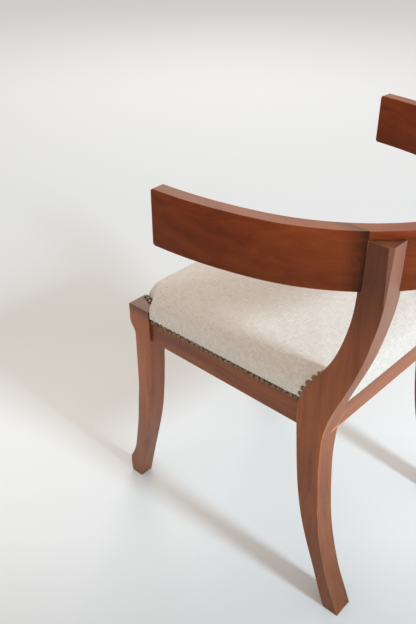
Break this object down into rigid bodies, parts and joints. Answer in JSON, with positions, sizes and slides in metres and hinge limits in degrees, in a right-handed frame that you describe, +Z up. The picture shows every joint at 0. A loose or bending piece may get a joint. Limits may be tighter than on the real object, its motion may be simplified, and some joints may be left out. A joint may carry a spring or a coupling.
{
  "type": "klismos chair",
  "caption": "Klismos dining chair with sabre legs, a horseshoe crest rail let into the rear posts and a nailed stuff-over linen seat",
  "frame": {"origin": "on the floor, under the middle of the chair's outline", "axes": "the chair faces -Y, the sitter's left is +X, +Z is up"},
  "size_m": [0.651, 0.634, 0.8],
  "materials": {
    "stained_wood": "reddish-brown stain and satin lacquer, darker grain, rubbed edges",
    "plain_wood": "unfinished beech",
    "steel": "zinc plated",
    "aged_brass": "antiqued brass, dark in the hollows",
    "linen": "oatmeal linen, slubby plain weave",
    "foam": "open-cell upholstery foam",
    "wadding": "polyester wadding",
    "hessian": "open jute weave",
    "jute_webbing": "herringbone jute webbing",
    "black_cambric": "thin black lining cloth"
  },
  "bodies": {
    "root": {"back_rail": "stained_wood", "corner_block_back_left": "plain_wood", "corner_block_back_right": "plain_wood", "corner_block_front_left": "plain_wood", "corner_block_front_right": "plain_wood", "corner_block_screws": "steel", "cover_nails_front": "aged_brass", "cover_nails_left": "aged_brass", "cover_nails_right": "aged_brass", "crest_dowels": "plain_wood", "crest_rail": "stained_wood", "dust_cover": "black_cambric", "dust_cover_tacks": "steel", "front_leg_left": "stained_wood", "front_leg_right": "stained_wood", "front_rail": "stained_wood", "hessian": "hessian", "rear_post_left": "stained_wood", "rear_post_right": "stained_wood", "seat_cover": "linen", "seat_foam": "foam", "side_rail_left": "stained_wood", "side_rail_right": "stained_wood", "wadding": "wadding", "webbing_crosswise_1": "jute_webbing", "webbing_crosswise_2": "jute_webbing", "webbing_crosswise_3": "jute_webbing", "webbing_crosswise_4": "jute_webbing", "webbing_lengthwise_1": "jute_webbing", "webbing_lengthwise_2": "jute_webbing", "webbing_lengthwise_3": "jute_webbing", "webbing_lengthwise_4": "jute_webbing", "webbing_tacks": "steel"}
  },
  "joints": []
}
